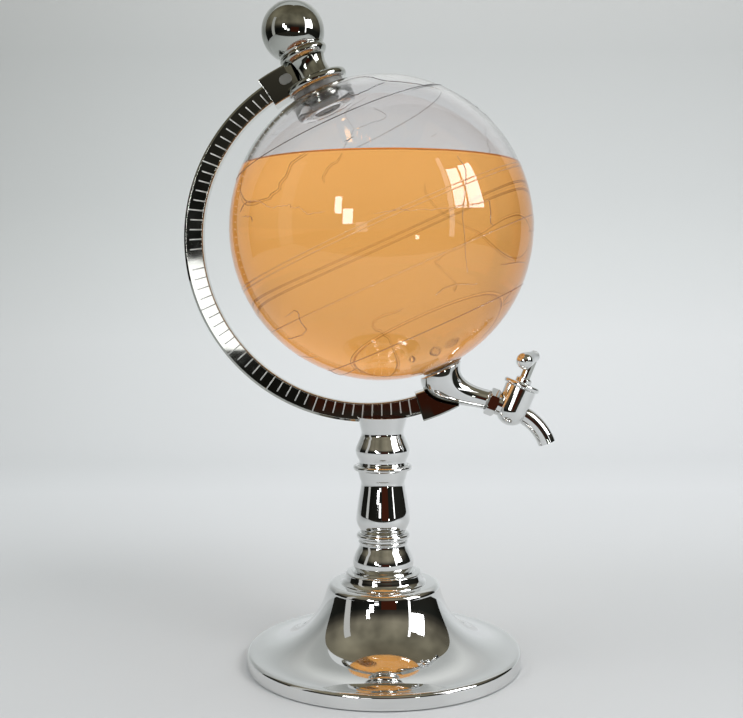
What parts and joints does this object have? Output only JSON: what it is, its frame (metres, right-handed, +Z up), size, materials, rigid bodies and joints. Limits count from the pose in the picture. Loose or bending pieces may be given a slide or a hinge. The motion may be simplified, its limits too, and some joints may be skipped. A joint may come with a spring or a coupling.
{
  "type": "globe drink dispenser",
  "caption": "Clear globe for a cold drink, held on a graduated arm above a turned column and weighted foot, with a pull-out cap for filling and a lever tap for pouring.",
  "frame": {"origin": "middle of the foot's underside, on the table", "axes": "+Z up along the column, -Y to the front, +X to the side of the tap"},
  "size_m": [0.2458, 0.2, 0.44],
  "materials": {
    "chrome": "polished chrome plate",
    "dark_chrome": "polished chrome plate, a little darker",
    "cover_metal": "satin",
    "clear": "clear, with thin raised map lines",
    "black_rubber": "smooth black rubber",
    "silicone": "translucent white silicone",
    "steel": "machined",
    "iron": "rough cast, painted dark grey",
    "black_plastic": "fine moulded grain",
    "white_plastic": "food-safe white plastic",
    "brass": "turned"
  },
  "bodies": {
    "stand": {"base_pad": "black_rubber", "base_cover": "black_plastic", "cover_screws": "steel", "base_weight": "iron", "base_shell": "chrome", "tie_rod": "steel", "rod_nut": "steel", "rod_washer": "steel", "column_collar": "chrome", "lower_baluster": "chrome", "column_vase": "chrome", "column_cup": "chrome", "meridian_arm": "dark_chrome", "upper_bracket": "dark_chrome", "arm_screw_upper": "steel", "screw_cap": "cover_metal", "lower_bracket": "dark_chrome", "arm_screw_lower": "steel", "elbow_screw": "steel", "globe_lower": "clear", "globe_upper": "clear", "neck_washer": "silicone", "outlet_gasket": "silicone", "inner_gasket": "silicone", "outlet_nut": "white_plastic", "outlet_elbow": "chrome", "union_washer": "silicone", "lock_nut": "chrome", "tap_body": "chrome", "tap_bonnet": "chrome"},
    "cap": {"cap_knob": "dark_chrome", "cap_plug": "black_rubber", "plug_rings": "silicone", "cap_screw": "steel"},
    "valve": {"tap_core": "brass", "core_rings": "black_rubber", "tap_stem": "dark_chrome", "tap_lever": "chrome", "lever_screw": "steel"}
  },
  "joints": [
    {"name": "cap_lift", "type": "slide", "parent": "stand", "child": "cap", "axis": [-0.4035, 0, 0.915], "range_m": [0, 0.06]},
    {"name": "tap_turn", "type": "hinge", "parent": "stand", "child": "valve", "pos_m": [0.08646, 0, 0.16941], "axis": [0.3827, 0, 0.9239], "range_deg": [0, 90]}
  ]
}
